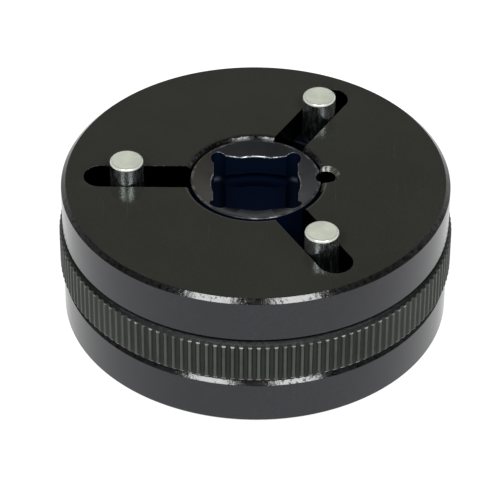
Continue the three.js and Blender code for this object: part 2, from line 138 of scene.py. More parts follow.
PIN_ANGLES = [math.radians(60 + 120 * i) for i in range(3)]
PIN_REST = 19.5
PIN_RADIUS = 2.55
PIN_TOP = top_of("drive_pin_1")
PIN_EDGE = 0.5
PIN_END_EDGE = 0.4
PIN_SMALL_EDGE = 0.08
PIN_SHANK_RADIUS = 1.8
PIN_GROOVE_RADIUS = 1.45
PIN_GAP = 0.05  # between the pin's steps and the pieces on it
SCROLL_RATE = 4.6
TURN_OUT = math.radians(48)
TURN_IN = math.radians(56)
PIN_OUT = PIN_REST + SCROLL_RATE * TURN_OUT
PIN_IN = PIN_REST - SCROLL_RATE * TURN_IN
SLOT_HALF = 2.62
TRAVEL_GAP = 0.1
SLOT_END = PIN_OUT + TRAVEL_GAP
BLOCK_HALF_LENGTH = 3.2
BLOCK_HALF_WIDTH = 3.8
BLOCK_CORNER = 1.5
BLOCK_EDGE = 0.2
BLOCK_BORE = 1.85
POCKET_TOP = 19.25
POCKET_HALF = BLOCK_HALF_WIDTH + TRAVEL_GAP
POCKET_END = PIN_OUT + BLOCK_HALF_LENGTH + TRAVEL_GAP
SPIRAL_HALF = 2.5
TAIL_GROOVE_BASE = 5.5
TAIL_GROOVE_HALF = 1.9

CORNER_SHARE = 0.45  # the most of an edge that one rounded corner takes
ON_AXIS = 1e-6
SLIVER = 0.004  # points nearer than this are merged after a cut
CUT = 1.0  # how far a cutter runs past the face that it opens
ROUND = 288  # segments of a large circle
SLOT_STEPS = 40  # steps of an arc
GROOVE_STEPS = 32
PILOT_STEPS = 16
RELIEF_STEPS = 20
DETENT_STEPS = 12
DETENT_ROUND = 128
PIN_ROUND = 96
KEY_ROUND = 64
SMOOTH_ANGLE = math.radians(32)
NORMAL_WEIGHT = 85  # large faces rule the normals beside the rounded edges

# ---- mesh tools -----------------------------------------------------------------------------


def mesh_object(name, bm):
    bmesh.ops.recalc_face_normals(bm, faces=bm.faces)
    mesh = bpy.data.meshes.new(name)
    bm.to_mesh(mesh)
    bm.free()
    obj = bpy.data.objects.new(name, mesh)
    bpy.context.scene.collection.objects.link(obj)
    return obj


def fillet(points, radius, steps=3):
    """A closed outline with each corner rounded. A corner is (a, b), or (a, b, its own radius)."""
    rounded = []
    count = len(points)
    for i, corner in enumerate(points):
        here = Vector(corner[:2])
        reach = corner[2] if len(corner) > 2 else radius
        before = Vector(points[i - 1][:2]) - here
        after = Vector(points[(i + 1) % count][:2]) - here
        if reach <= 0:
            rounded.append(here)
            continue
        half_angle = before.angle(after) / 2
        room = min(before.length, after.length) * CORNER_SHARE
        back = min(reach / math.tan(half_angle), room)
        start = here + before.normalized() * back
        end = here + after.normalized() * back
        for step in range(steps + 1):
            t = step / steps
            a = start.lerp(here, t)
            b = here.lerp(end, t)
            rounded.append(a.lerp(b, t))
    return rounded


def lathe(name, outline, segments=ROUND):
    """Turns a closed outline of (radius, height) about Z. Points on the axis become one vertex."""
    bm = bmesh.new()
    columns = []
    for radius, height in outline:
        if radius < ON_AXIS:
            columns.append([bm.verts.new((0, 0, height))] * segments)
            continue
        column = []
        for s in range(segments):
            angle = 2 * math.pi * s / segments
            column.append(bm.verts.new((radius * math.cos(angle), radius * math.sin(angle), height)))
        columns.append(column)
    for i, here in enumerate(columns):
        there = columns[(i + 1) % len(columns)]
        if here[0] is here[1] and there[0] is there[1]:
            continue
        for s in range(segments):
            corners = [here[s], here[(s + 1) % segments], there[(s + 1) % segments], there[s]]
            face = list(dict.fromkeys(corners))
            bm.faces.new(face)
    return mesh_object(name, bm)


def loft(name, loops):
    """A closed solid through loops of (x, y, z) that all have the same number of points."""
    bm = bmesh.new()
    rings = [[bm.verts.new(point) for point in loop] for loop in loops]
    count = len(rings[0])
    for lower, upper in zip(rings, rings[1:]):
        for i in range(count):
            j = (i + 1) % count
            bm.faces.new((lower[i], lower[j], upper[j], upper[i]))
    bm.faces.new(list(reversed(rings[0])))
    bm.faces.new(rings[-1])
    return mesh_object(name, bm)


def at_height(outline, height):
    return [(p[0], p[1], height) for p in outline]


def turned(obj, angle):
    """A copy turned about Z."""
    mesh = obj.data.copy()
    mesh.transform(Matrix.Rotation(angle, 4, "Z"))
    copy = bpy.data.objects.new(obj.name, mesh)
    bpy.context.scene.collection.objects.link(copy)
    return copy


def turn(obj, angle):
    obj.data.transform(Matrix.Rotation(angle, 4, "Z"))
    return obj


def moved(obj, x, y, z):
    obj.data.transform(Matrix.Translation((x, y, z)))
    return obj


def turned_over(obj):
    """The wrench's two ends are alike: what fits the upper end is turned over about X."""
    obj.data.transform(Matrix.Translation((0, 0, DISC_TOP)) @ Matrix.Rotation(math.pi, 4, "X"))
    return obj


def at_each_pin(obj):
    copies = [turned(obj, angle) for angle in PIN_ANGLES]
    bpy.data.objects.remove(obj)
    return copies


def cut(obj, cutters):
    """Subtracts each cutter and removes it."""
    for cutter in cutters:
        modifier = obj.modifiers.new("cut", "BOOLEAN")
        modifier.object = cutter
        modifier.operation = "DIFFERENCE"
        modifier.solver = "MANIFOLD"
    apply_modifiers(obj)
    for cutter in cutters:
        bpy.data.objects.remove(cutter)
    remove_slivers(obj)
    return obj


def remove_slivers(obj):
    """Merges the almost equal points that cuts leave, and takes out faces without area."""
    bm = bmesh.new()
    bm.from_mesh(obj.data)
    bmesh.ops.remove_doubles(bm, verts=bm.verts, dist=SLIVER)
    bmesh.ops.dissolve_degenerate(bm, edges=bm.edges, dist=SLIVER)
    bmesh.ops.connect_verts_concave(bm, faces=bm.faces)
    bm.to_mesh(obj.data)
    bm.free()


def apply_modifiers(obj):
    bpy.context.view_layer.update()
    evaluated = obj.evaluated_get(bpy.context.evaluated_depsgraph_get())
    mesh = bpy.data.meshes.new_from_object(evaluated)
    obj.modifiers.clear()
    obj.data = mesh


def hand_over(obj, name, node, body, material):
    """Scales a finished mesh to metres, shades it and lets it stand for its CAD node."""
    obj.name = name
    obj.data.name = name
    obj.data.transform(Matrix.Scale(MM, 4))
    obj.data.materials.clear()
    obj.data.materials.append(material)
    obj.data.shade_smooth()
    obj.data.set_sharp_from_angle(angle=SMOOTH_ANGLE)
    weighted = obj.modifiers.new("normals", "WEIGHTED_NORMAL")
    weighted.keep_sharp = True
    weighted.weight = NORMAL_WEIGHT
    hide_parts(node)
    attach(obj, body)
    return obj


# ---- outlines -------------------------------------------------------------------------------


def arc(centre, radius, start, end, steps):
    turn = end - start
    return [
        (
            centre[0] + radius * math.cos(start + turn * i / steps),
            centre[1] + radius * math.sin(start + turn * i / steps),
        )
        for i in range(steps + 1)
    ]


def open_slot(start, end, half):
    """A slot along X, square at its inner end and round at its outer end."""
    return [(start, -half)] + arc((end, 0), half, -math.pi / 2, math.pi / 2, SLOT_STEPS) + [(start, half)]


def stadium(start, end, half):
    outer = arc((end, 0), half, -math.pi / 2, math.pi / 2, GROOVE_STEPS)
    inner = arc((start, 0), half, math.pi / 2, 3 * math.pi / 2, GROOVE_STEPS)
    return outer + inner


def rounded_box(low_x, high_x, half, corner, steps=8):
    quarter = math.pi / 2
    centres = [
        (high_x - corner, half - corner),
        (low_x + corner, half - corner),
        (low_x + corner, corner - half),
        (high_x - corner, corner - half),
    ]
    points = []
    for i, centre in enumerate(centres):
        points += arc(centre, corner, i * quarter, (i + 1) * quarter, steps)
    return points


def drive_square(grow=0):
    """Each side has a flat, the arc of the pilot bore, the other half of the flat, and a relief."""
    half = DRIVE_HALF + grow
    pilot = math.acos(half / (PILOT_RADIUS + grow))
    relief = math.acos((half - RELIEF_CENTRE) / (RELIEF_RADIUS + grow))
    reach = math.hypot(RELIEF_CENTRE, RELIEF_CENTRE)
    points = []
    for side in range(4):
        turn = side * math.pi / 2
        corner = (reach * math.cos(turn + math.pi / 4), reach * math.sin(turn + math.pi / 4))
        points += arc((0, 0), PILOT_RADIUS + grow, turn - pilot, turn + pilot, PILOT_STEPS)
        relief_end = turn + math.pi / 2 + relief
        points += arc(corner, RELIEF_RADIUS + grow, turn - relief, relief_end, RELIEF_STEPS)
    return points


def spiral_slot(steps=60):
    """The slot for the pin on X. Its middle line's radius falls evenly with the angle."""
    outer, inner = [], []
    for step in range(steps + 1):
        angle = -TURN_OUT + (TURN_OUT + TURN_IN) * step / steps
        radius = PIN_REST - SCROLL_RATE * angle
        heading = angle + math.atan2(radius, -SCROLL_RATE)
        x, y = radius * math.cos(angle), radius * math.sin(angle)
        across = (SPIRAL_HALF * math.sin(heading), -SPIRAL_HALF * math.cos(heading))
        outer.append((x + across[0], y + across[1]))
        inner.append((x - across[0], y - across[1]))
    inner.reverse()
    return outer + round_end(outer[-1], inner[0]) + inner + round_end(inner[-1], outer[0])


def round_end(start, end, steps=16):
    centre = ((start[0] + end[0]) / 2, (start[1] + end[1]) / 2)
    first = math.atan2(start[1] - centre[1], start[0] - centre[0])
    return arc(centre, SPIRAL_HALF, first, first + math.pi, steps)[1:-1]


# ---- cutters --------------------------------------------------------------------------------


def flared(outline_at, low, high):
    """A prism from low to high whose last stretch widens, to break the edge of the hole it cuts.
    outline_at(grow) gives the outline, larger by grow all round."""
    loops = [at_height(outline_at(0), low)]
    steps = 3
    for step in range(steps + 1):
        turn = math.pi / 2 * step / steps
        outline = outline_at(EDGE * (1 - math.cos(turn)))
        loops.append(at_height(outline, high - EDGE * (1 - math.sin(turn))))
    loops.append(at_height(outline_at(EDGE), high + CUT))
    return loft("cutter", loops)


def slot_cutters():
    inside = HUB_RADIUS / 2
    slot = flared(lambda grow: open_slot(inside, SLOT_END, SLOT_HALF + grow), POCKET_TOP - CUT, DISC_TOP)
    return at_each_pin(slot)


def pocket_cutters():
    inside = HUB_RADIUS / 2
    outline = rounded_box(inside, POCKET_END, POCKET_HALF, BLOCK_CORNER)
    loops = [at_height(outline, DISC_BASE - CUT), at_height(outline, POCKET_TOP)]
    return at_each_pin(loft("pocket", loops))


def key_cutter():
    floor = DISC_TOP - KEY_HOLE_DEPTH
    outline = [
        (0, floor - KEY_HOLE_POINT),
        (KEY_HOLE, floor),
        (KEY_HOLE, DISC_TOP - KEY_CHAMFER),
        (KEY_HOLE + KEY_CHAMFER, DISC_TOP),
        (KEY_HOLE + KEY_CHAMFER + CUT, DISC_TOP + CUT),
        (0, DISC_TOP + CUT),
    ]
    return moved(lathe("key hole", outline, KEY_ROUND), KEY_X, KEY_Y, 0)


# ---- pieces ---------------------------------------------------------------------------------


def disc(name):
    """A disc as the upper one lies, before its slots."""
    chamfer = BORE_CHAMFER_RADIUS - BORE_RADIUS
    outline = fillet(
        [
            (BORE_RADIUS, DISC_BASE, BORE_LOWER_EDGE),
            (DISC_RADIUS - DISC_CHAMFER, DISC_BASE),
            (DISC_RADIUS, DISC_BASE + DISC_CHAMFER),
            (DISC_RADIUS, DISC_TOP - DISC_CHAMFER),
            (DISC_RADIUS - DISC_CHAMFER, DISC_TOP),
            (BORE_CHAMFER_RADIUS, DISC_TOP, BORE_MOUTH_EDGE),
            (BORE_RADIUS, DISC_TOP - chamfer, BORE_LIP_EDGE),
        ],
        DISC_EDGE,
        steps=6,
    )
    return lathe(name, outline)


def upper_plate():
    return cut(disc("upper plate"), slot_cutters() + pocket_cutters() + [key_cutter()])


def lower_plate():
    groove = stadium(PIN_IN - TRAVEL_GAP, PIN_OUT + TRAVEL_GAP, TAIL_GROOVE_HALF)
    grooves = loft("groove", [at_height(groove, TAIL_GROOVE_BASE), at_height(groove, LOWER_TOP + CUT)])
    plate = turned_over(disc("lower plate"))
    return cut(plate, at_each_pin(grooves) + [turned_over(key_cutter())])


def detent_cutter():
    """A round-bottomed groove in the walls of the square."""
    middle = DISC_TOP - DETENT_DEPTH
    depth = DETENT_RADIUS - DRIVE_HALF
    outline = [(DRIVE_HALF / 2, middle - DETENT_HALF_MOUTH)]
    outline += [
        (DRIVE_HALF + depth * math.cos(turn), middle + DETENT_HALF_MOUTH * math.sin(turn))
        for turn in [math.pi * (i / DETENT_STEPS - 0.5) for i in range(DETENT_STEPS + 1)]
    ]
    outline.append((DRIVE_HALF / 2, middle + DETENT_HALF_MOUTH))
    return lathe("detent", outline, DETENT_ROUND)


def half_broach():
    """Cuts the upper half of the square. Its edge is rounded where it meets the cone."""
    loops = [at_height(drive_square(), MIDDLE - CUT)]
    steps = 5
    for step in range(steps + 1):
        turn = math.pi / 2 * step / steps
        outline = drive_square(BROACH_EDGE * (1 - math.cos(turn)))
        drop = BROACH_EDGE * (1 - math.sin(turn))
        loops.append([(x, y, cone_height(math.hypot(x, y)) - drop) for x, y in outline])
    loops.append(at_height(drive_square(BROACH_EDGE), DISC_TOP + CUT))
    return loft("broach", loops)


def cone_height(radius):
    return HUB_TOP - max(HUB_RIM - radius, 0) * HUB_CONE_SLOPE


def drive_hub():
    dish = HUB_RIM * HUB_CONE_SLOPE
    outline = fillet(
        [
            (0, HUB_BASE + dish, 0),
            (HUB_RIM, HUB_BASE),
            (HUB_RADIUS, HUB_BASE, HUB_EDGE),
            (HUB_RADIUS, LOWER_TOP, 0),
            (HUB_JOURNAL, LOWER_TOP),
            (HUB_JOURNAL, DISC_BASE),
            (HUB_RADIUS, DISC_BASE, 0),
            (HUB_RADIUS, HUB_TOP, HUB_EDGE),
            (HUB_RIM, HUB_TOP),
            (0, HUB_TOP - dish, 0),
        ],
        HUB_SMALL_EDGE,
    )
    cutters = []
    for cutter in (half_broach, detent_cutter, key_cutter):
        cutters += [cutter(), turned_over(cutter())]
    return cut(lathe("drive hub", outline), cutters)


def smooth(t):
    t = min(max(t, 0), 1)
    return t * t * (3 - 2 * t)


def knurl_radius(phase):
    """Radius over one pitch, from crest to crest: a flat crest, sloping flanks and a flat bottom."""
    from_crest = min(phase, 1 - phase)
    return RING_RADIUS - KNURL_DEPTH * smooth((from_crest - KNURL_CREST) / KNURL_FLANK)


def knurled_ring_blank():
    """The knurled rim in fine steps, with its ends chamfered, and the ring's plain faces and bore."""
    flank = [KNURL_CREST + KNURL_FLANK * step / 4 for step in range(5)]
    half = [0, KNURL_ON_CREST] + flank + [KNURL_ON_BOTTOM]
    phases = half + [0.5] + [1 - phase for phase in reversed(half[1:])]
    directions = []
    for tooth in range(KNURL_COUNT):
        for phase in phases:
            angle = 2 * math.pi * (tooth + phase) / KNURL_COUNT
            directions.append((math.cos(angle), math.sin(angle), knurl_radius(phase)))
    end_radius = RING_RADIUS - KNURL_CHAMFER
    stretch = KNURL_LOWER_CHAMFER / KNURL_CHAMFER
    heights = [RING_BASE + rise * stretch for rise in KNURL_RISE]
    heights += [RING_TOP - rise for rise in reversed(KNURL_RISE)]
    bm = bmesh.new()
    rows = []
    for height in heights:
        inset = min(height - RING_BASE - KNURL_LOWER_EXTRA, RING_TOP - height)
        row = []
        for x, y, radius in directions:
            over = radius - end_radius - inset
            r = radius - (over + math.hypot(over, CHAMFER_SOFTNESS)) / 2
            row.append(bm.verts.new((r * x, r * y, height)))
        rows.append(row)
    count = len(directions)
    for lower, upper in zip(rows, rows[1:]):
        for i in range(count):
            j = (i + 1) % count
            bm.faces.new((lower[i], lower[j], upper[j], upper[i]))
    inner = [
        (RING_RECESS, RING_TOP),
        (RING_RECESS, RING_RECESS_TOP),
        (RING_BORE, RING_RECESS_TOP),
        (RING_BORE, RING_RECESS_BASE),
        (RING_RECESS, RING_RECESS_BASE),
        (RING_RECESS, RING_BASE),
    ]
    above = rows[-1]
    for radius, height in inner:
        ring = [bm.verts.new((radius * x, radius * y, height)) for x, y, _ in directions]
        for i in range(count):
            j = (i + 1) % count
            bm.faces.new((above[i], above[j], ring[j], ring[i]))
        above = ring
    for i in range(count):
        j = (i + 1) % count
        bm.faces.new((above[i], above[j], rows[0][j], rows[0][i]))
    return mesh_object("ring", bm)


def adjusting_ring():
    spiral = spiral_slot()
    cutter = loft("spiral", [at_height(spiral, RING_BASE - CUT), at_height(spiral, RING_TOP + CUT)])
    return cut(knurled_ring_blank(), at_each_pin(cutter))


def drive_pin(node):
    """A stepped pin with a finely rounded head, on its own axis."""
    base = base_of(node)
    block_top = top_of("slide_block_2")
    clip_top, clip_base = top_of("pin_clip_2"), base_of("pin_clip_2")
    inner_corner = 0.02
    outline = fillet(
        [
            (0, base, 0),
            (PIN_SHANK_RADIUS, base, PIN_END_EDGE),
            (PIN_SHANK_RADIUS, clip_base - PIN_GAP),
            (PIN_GROOVE_RADIUS, clip_base - PIN_GAP, inner_corner),
            (PIN_GROOVE_RADIUS, clip_top + PIN_GAP, inner_corner),
            (PIN_SHANK_RADIUS, clip_top + PIN_GAP),
            (PIN_SHANK_RADIUS, block_top + PIN_GAP, inner_corner),
            (PIN_RADIUS, block_top + PIN_GAP),
            (PIN_RADIUS, PIN_TOP, PIN_EDGE),
            (0, PIN_TOP, 0),
        ],
        PIN_SMALL_EDGE,
        steps=8,
    )
    return lathe(node, outline, PIN_ROUND)


def slide_block():
    base, top = base_of("slide_block_2"), top_of("slide_block_2")
    outline, small = (
        rounded_box(
            -BLOCK_HALF_LENGTH + edge,
            BLOCK_HALF_LENGTH - edge,
            BLOCK_HALF_WIDTH - edge,
            BLOCK_CORNER - edge,
        )
        for edge in (0, BLOCK_EDGE)
    )
    loops = [
        at_height(small, base),
        at_height(outline, base + BLOCK_EDGE),
        at_height(outline, top - BLOCK_EDGE),
        at_height(small, top),
    ]
    bore = [(0, base - CUT), (BLOCK_BORE, base - CUT), (BLOCK_BORE, top + CUT), (0, top + CUT)]
    return cut(loft("block", loops), [lathe("bore", bore, PIN_ROUND)])


def key_screw():
    """A hexagon-socket grub screw, standing on its point at the origin."""
    length = top_of("upper_key_screw") - base_of("upper_key_screw")
    root = KEY_SCREW_RADIUS - KEY_THREAD_DEPTH
    outline = [(0, 0), (KEY_SCREW_RADIUS - KEY_SCREW_POINT, 0)]
    for i in range(int(length / KEY_THREAD_PITCH)):
        outline.append((root, KEY_THREAD_PITCH * (i + 0.25)))
        outline.append((KEY_SCREW_RADIUS, KEY_THREAD_PITCH * (i + 0.75)))
    outline += [(KEY_SCREW_RADIUS - KEY_SCREW_EDGE, length - 0.08), (root, length), (0, length)]
    corners = [i * math.pi / 3 for i in range(6)]
    socket = [(KEY_SOCKET_RADIUS * math.cos(a), KEY_SOCKET_RADIUS * math.sin(a)) for a in corners]
    wide = [(x * KEY_SOCKET_FLARE, y * KEY_SOCKET_FLARE) for x, y in socket]
    loops = [
        at_height(socket, length - KEY_SOCKET_DEPTH),
        at_height(socket, length - KEY_SCREW_EDGE),
        at_height(wide, length),
        at_height(wide, length + CUT),
    ]
    return cut(lathe("screw", outline, KEY_ROUND), [loft("socket", loops)])


# ---- materials ------------------------------------------------------------------------------
# In the materials, distances and places are in metres, noise scales are in cells per metre, and the
# small numbers in the masks are the ends of a soft step.

SLOW = 6  # cells per metre round the axis, for marks that turning leaves

class Nodes:
    """Short ways of adding shader nodes to one material."""

    def __init__(self, name):
        self.material = bpy.data.materials.new(name)
        self.material.use_nodes = True
        self.tree = self.material.node_tree
        self.shader = self.tree.nodes["Principled BSDF"]
        self.place = self.add("ShaderNodeTexCoord").outputs["Object"]

    def add(self, kind, **settings):
        node = self.tree.nodes.new(kind)
        for key, value in settings.items():
            setattr(node, key, value)
        return node

    def feed(self, socket, value):
        if isinstance(value, bpy.types.NodeSocket):
            self.tree.links.new(value, socket)
        else:
            socket.default_value = value

    def math(self, operation, a, b=0.0, clamp=False):
        node = self.add("ShaderNodeMath", operation=operation, use_clamp=clamp)
        self.feed(node.inputs[0], a)
        self.feed(node.inputs[1], b)
        return node.outputs[0]

    def ramp(self, value, low, high, to_low=0.0, to_high=1.0):
        """value from low to high gives to_low to to_high, with a smooth start and end."""
        node = self.add("ShaderNodeMapRange", interpolation_type="SMOOTHSTEP")
        self.feed(node.inputs["Value"], value)
        node.inputs["From Min"].default_value = low
        node.inputs["From Max"].default_value = high
        node.inputs["To Min"].default_value = to_low
        node.inputs["To Max"].default_value = to_high
        return node.outputs["Result"]

    def noise(self, scale, detail, roughness, place=None):
        node = self.add("ShaderNodeTexNoise")
        self.feed(node.inputs["Vector"], place or self.place)
        node.inputs["Scale"].default_value = scale
        node.inputs["Detail"].default_value = detail
        node.inputs["Roughness"].default_value = roughness
        return node.outputs["Fac"]

    def split(self, vector):
        node = self.add("ShaderNodeSeparateXYZ")
        self.feed(node.inputs[0], vector)
        return node.outputs

    def stretched(self, scale, turn=(0, 0, 0)):
        node = self.add("ShaderNodeMapping")
        self.feed(node.inputs["Vector"], self.place)
        node.inputs["Scale"].default_value = scale
        node.inputs["Rotation"].default_value = turn
        return node.outputs[0]

    def key_distance(self):
        """Distance from the axis of the key hole, the same for both discs."""
        x, y, _ = self.split(self.place)
        along = self.math("SUBTRACT", x, KEY_X * MM)
        across = self.math("SUBTRACT", self.math("ABSOLUTE", y), KEY_Y * MM)
        return self.length(along, across)

    def radius(self):
        """Distance from the wrench's axis, in metres."""
        x, y, _ = self.split(self.place)
        return self.length(x, y)

    def length(self, a, b):
        squares = self.math("ADD", self.math("MULTIPLY", a, a), self.math("MULTIPLY", b, b))
        return self.math("SQRT", squares)

    def rings(self, scale):
        """A place that changes fast with the distance from the axis, and slowly round it."""
        x, y, _ = self.split(self.place)
        combine = self.add("ShaderNodeCombineXYZ")
        self.feed(combine.inputs[0], self.math("MULTIPLY", self.radius(), scale))
        self.feed(combine.inputs[1], self.math("MULTIPLY", x, SLOW))
        self.feed(combine.inputs[2], self.math("MULTIPLY", y, SLOW))
        return combine.outputs[0]

    def mix(self, factor, a, b):
        node = self.add("ShaderNodeMix", data_type="RGBA")
        self.feed(node.inputs[0], factor)
        self.feed(node.inputs[6], a)
        self.feed(node.inputs[7], b)
        return node.outputs[2]

    def blend(self, factor, a, b):
        node = self.add("ShaderNodeMix", data_type="FLOAT")
        self.feed(node.inputs[0], factor)
        self.feed(node.inputs[2], a)
        self.feed(node.inputs[3], b)
        return node.outputs[0]

    def edges(self, radius):
        """1 on an edge, 0 away from it: where a rounded normal leaves the true one."""
        bevel = self.add("ShaderNodeBevel", samples=6)
        bevel.inputs["Radius"].default_value = radius
        true = self.add("ShaderNodeNewGeometry").outputs["Normal"]
        dot = self.add("ShaderNodeVectorMath", operation="DOT_PRODUCT")
        self.feed(dot.inputs[0], bevel.outputs[0])
        self.feed(dot.inputs[1], true)
        return self.ramp(dot.outputs["Value"], 0.995, 0.9)

    def upright(self):
        """How far the surface faces up or down, from 0 on a wall to 1 on a flat."""
        normal = self.add("ShaderNodeNewGeometry").outputs["True Normal"]
        return self.math("ABSOLUTE", self.split(normal)[2])

    def bump(self, height, strength, distance):
        node = self.add("ShaderNodeBump")
        node.inputs["Strength"].default_value = strength
        node.inputs["Distance"].default_value = distance
        self.feed(node.inputs["Height"], height)
        return node.outputs[0]

    def finish(self, colour, roughness, metallic, normal=None):
        self.feed(self.shader.inputs["Base Color"], colour)
        self.feed(self.shader.inputs["Roughness"], roughness)
        self.feed(self.shader.inputs["Metallic"], metallic)
        if normal is not None:
            self.feed(self.shader.inputs["Normal"], normal)
        return self.material


# A zone is where a mask starts and where it is full.
OUTER_CHAMFER_ZONE = (0.025, 0.028)
INNER_WALL_ZONE = (0.0275, 0.027)
BORE_ZONE = (0.012, 0.0115)
BORE_LIP_ZONE = (0.01048, 0.01032)
DISC_SIDE_ZONE = (0.011, 0.019)
KNURL_SIDE_ZONE = (0.015, 0.026)
KNURL_PAINTED_SHADE_ZONE = (0.0293, 0.0287)
HUB_RIM_ZONE = (0.0094, 0.0095)
HUB_RIM_HEIGHT_ZONE = (0.0113, 0.0115)
HUB_EDGE_ZONE = (0.00962, 0.00970)
HUB_LEFT_SHEEN_ZONE = (-0.0055, -0.0085)
RELIEF_ZONE = (0.0095, 0.0093)
DETENT_ZONE = (0.0012, 0.002)
NOISE_RANGE = (0.3, 0.7)  # where most values of a noise lie
EDGE_WEAR_WIDTH = 0.00012

WORN = (0.62, 0.62, 0.63, 1)
FINE_BUMP = 0.00003
KNURL_BUMP = 0.00004
GROUND_BUMP = 0.00002
BLACK_IOR = 1.4
KNURL_IOR = 1.33


def scratches(n, scale, turn, threshold):
    """Thin straight lines: noise stretched far along one direction."""
    lines = n.noise(scale, 2.0, 0.5, n.stretched((1, 0.012, 1), (0, 0, turn)))
    patches = n.noise(90, 2.0, 0.5)
    sharp = n.ramp(lines, threshold, threshold + 0.03)
    return n.math("MULTIPLY", sharp, n.ramp(patches, 0.5, 0.62))


def blackened_steel():
    """Turned, blackened and oiled steel: nearly black, satin, with its edges worn here and there."""
    n = Nodes("blackened_steel")
    cloud = n.noise(70, 5, 0.6)
    grain = n.noise(2600, 3, 0.6)
    turning = n.noise(1, 3, 0.6, n.rings(5200))
    upright = n.upright()
    # Flat ends, chamfers, the outer chamfer alone, and the walls of the slots and the bore.
    flat = n.ramp(upright, 0.8, 0.98)
    slope = n.math("MULTIPLY", n.ramp(upright, 0.3, 0.5), n.ramp(upright, 0.9, 0.8))
    radius = n.radius()
    rim = n.math("MULTIPLY", slope, n.ramp(radius, *OUTER_CHAMFER_ZONE))
    wall_painted_shade = n.math("MULTIPLY", n.ramp(upright, 0.55, 0.35), n.ramp(radius, *INNER_WALL_ZONE))
    lines = n.math("MAXIMUM", scratches(n, 2600, 0.9, 0.7), scratches(n, 2300, 2.3, 0.7))
    # Painted shade by facing: flat faces get a lighter, warmer tone, walls a darker, bluer one, and
    # chamfers a darker one still.
    warm = n.mix(n.ramp(cloud, *NOISE_RANGE), (0.0112, 0.0112, 0.0077, 1), (0.0142, 0.0142, 0.0102, 1))
    cool = n.mix(n.ramp(cloud, *NOISE_RANGE), (0.0058, 0.0061, 0.0088, 1), (0.0078, 0.0081, 0.0118, 1))
    dark = n.mix(flat, cool, warm)
    dark = n.mix(slope, dark, (0.004, 0.004, 0.0045, 1))
    dark = n.mix(n.ramp(grain, 0.4, 0.7, 0.0, 0.16), dark, (0.03, 0.03, 0.028, 1))
    dark = n.mix(n.math("MULTIPLY", lines, 0.2), dark, (0.05, 0.05, 0.046, 1))
    worn_places = n.ramp(n.noise(700, 4, 0.7), 0.54, 0.66)
    wear = n.math("MULTIPLY", n.edges(EDGE_WEAR_WIDTH), worn_places, clamp=True)
    # Painted shade: the walls of the slots and the bore are made near black.
    dark = n.mix(wall_painted_shade, dark, (0.002, 0.003, 0.006, 1))
    colour = n.mix(wear, dark, WORN)
    # Flecks on the chamfers, metallic over the near-black colour so that they reflect little: most at the
    # bore, with painted shade over the whole bore lip and over the sides of the outer chamfer.
    patchy = n.noise(1500, 4, 0.65)
    bore = n.ramp(radius, *BORE_ZONE)
    spotted = n.blend(bore, n.ramp(patchy, 0.56, 0.62), n.ramp(patchy, 0.44, 0.56))
    flecks_and_painted_shade = n.math("MULTIPLY", slope, spotted)
    lip = n.math("MULTIPLY", slope, n.ramp(radius, *BORE_LIP_ZONE))
    flecks_and_painted_shade = n.math("MAXIMUM", flecks_and_painted_shade, lip)
    x, _, _ = n.split(n.place)
    # Painted shade: the outer chamfer is darker towards the left and right sides.
    side = n.ramp(n.math("ABSOLUTE", x), *DISC_SIDE_ZONE)
    side_painted_shade = n.math("MULTIPLY", side, n.ramp(patchy, 0.4, 0.6, 0.4, 0.75))
    side_painted_shade = n.math("MULTIPLY", rim, side_painted_shade)
    flecks_and_painted_shade = n.math("MAXIMUM", flecks_and_painted_shade, side_painted_shade)
    # The countersink of the key hole is rubbed grey.
    key_rim = (KEY_HOLE + KEY_CHAMFER) * MM
    key = n.ramp(n.key_distance(), key_rim + 0.00015, key_rim + 0.00005)
    key = n.math("MULTIPLY", key, slope)
    flecks_and_painted_shade = n.blend(key, flecks_and_painted_shade, 0.0)
    greyed = n.mix(n.ramp(patchy, 0.4, 0.6), (0.02, 0.02, 0.017, 1), (0.07, 0.07, 0.055, 1))
    colour = n.mix(n.math("MULTIPLY", key, 0.8), colour, greyed)
    rough_side = n.ramp(cloud, *NOISE_RANGE, 0.14, 0.2)
    rough_top = n.ramp(cloud, *NOISE_RANGE, 0.13, 0.17)
    rough = n.blend(slope, n.blend(flat, rough_side, rough_top), 0.16)
    rough = n.blend(rim, rough, 0.1)
    rough = n.blend(key, rough, 0.2)
    rough = n.math("ADD", rough, n.ramp(grain, 0.35, 0.65, -0.02, 0.03))
    pits = n.noise(900, 4, 0.65)
    mottle = n.math("MULTIPLY", n.math("MULTIPLY", n.noise(2100, 3, 0.6), flat), 3.0)
    height = n.math("ADD", n.math("MULTIPLY", grain, 0.5), mottle)
    height = n.math("ADD", height, n.math("MULTIPLY", turning, 0.5))
    height = n.math("ADD", height, n.math("MULTIPLY", n.math("MULTIPLY", pits, slope), 6.0))
    # Worn edges are bare metal; the painted shade on the walls and on the chamfer flecks is metallic over
    # near-black colour, so that it reflects little.
    metal = n.math("MAXIMUM", n.math("MULTIPLY", wear, 0.9), wall_painted_shade)
    metal = n.math("MAXIMUM", metal, n.math("MULTIPLY", flecks_and_painted_shade, 0.9))
    n.shader.inputs["IOR"].default_value = BLACK_IOR
    return n.finish(colour, rough, metal, n.bump(height, 0.2, FINE_BUMP))


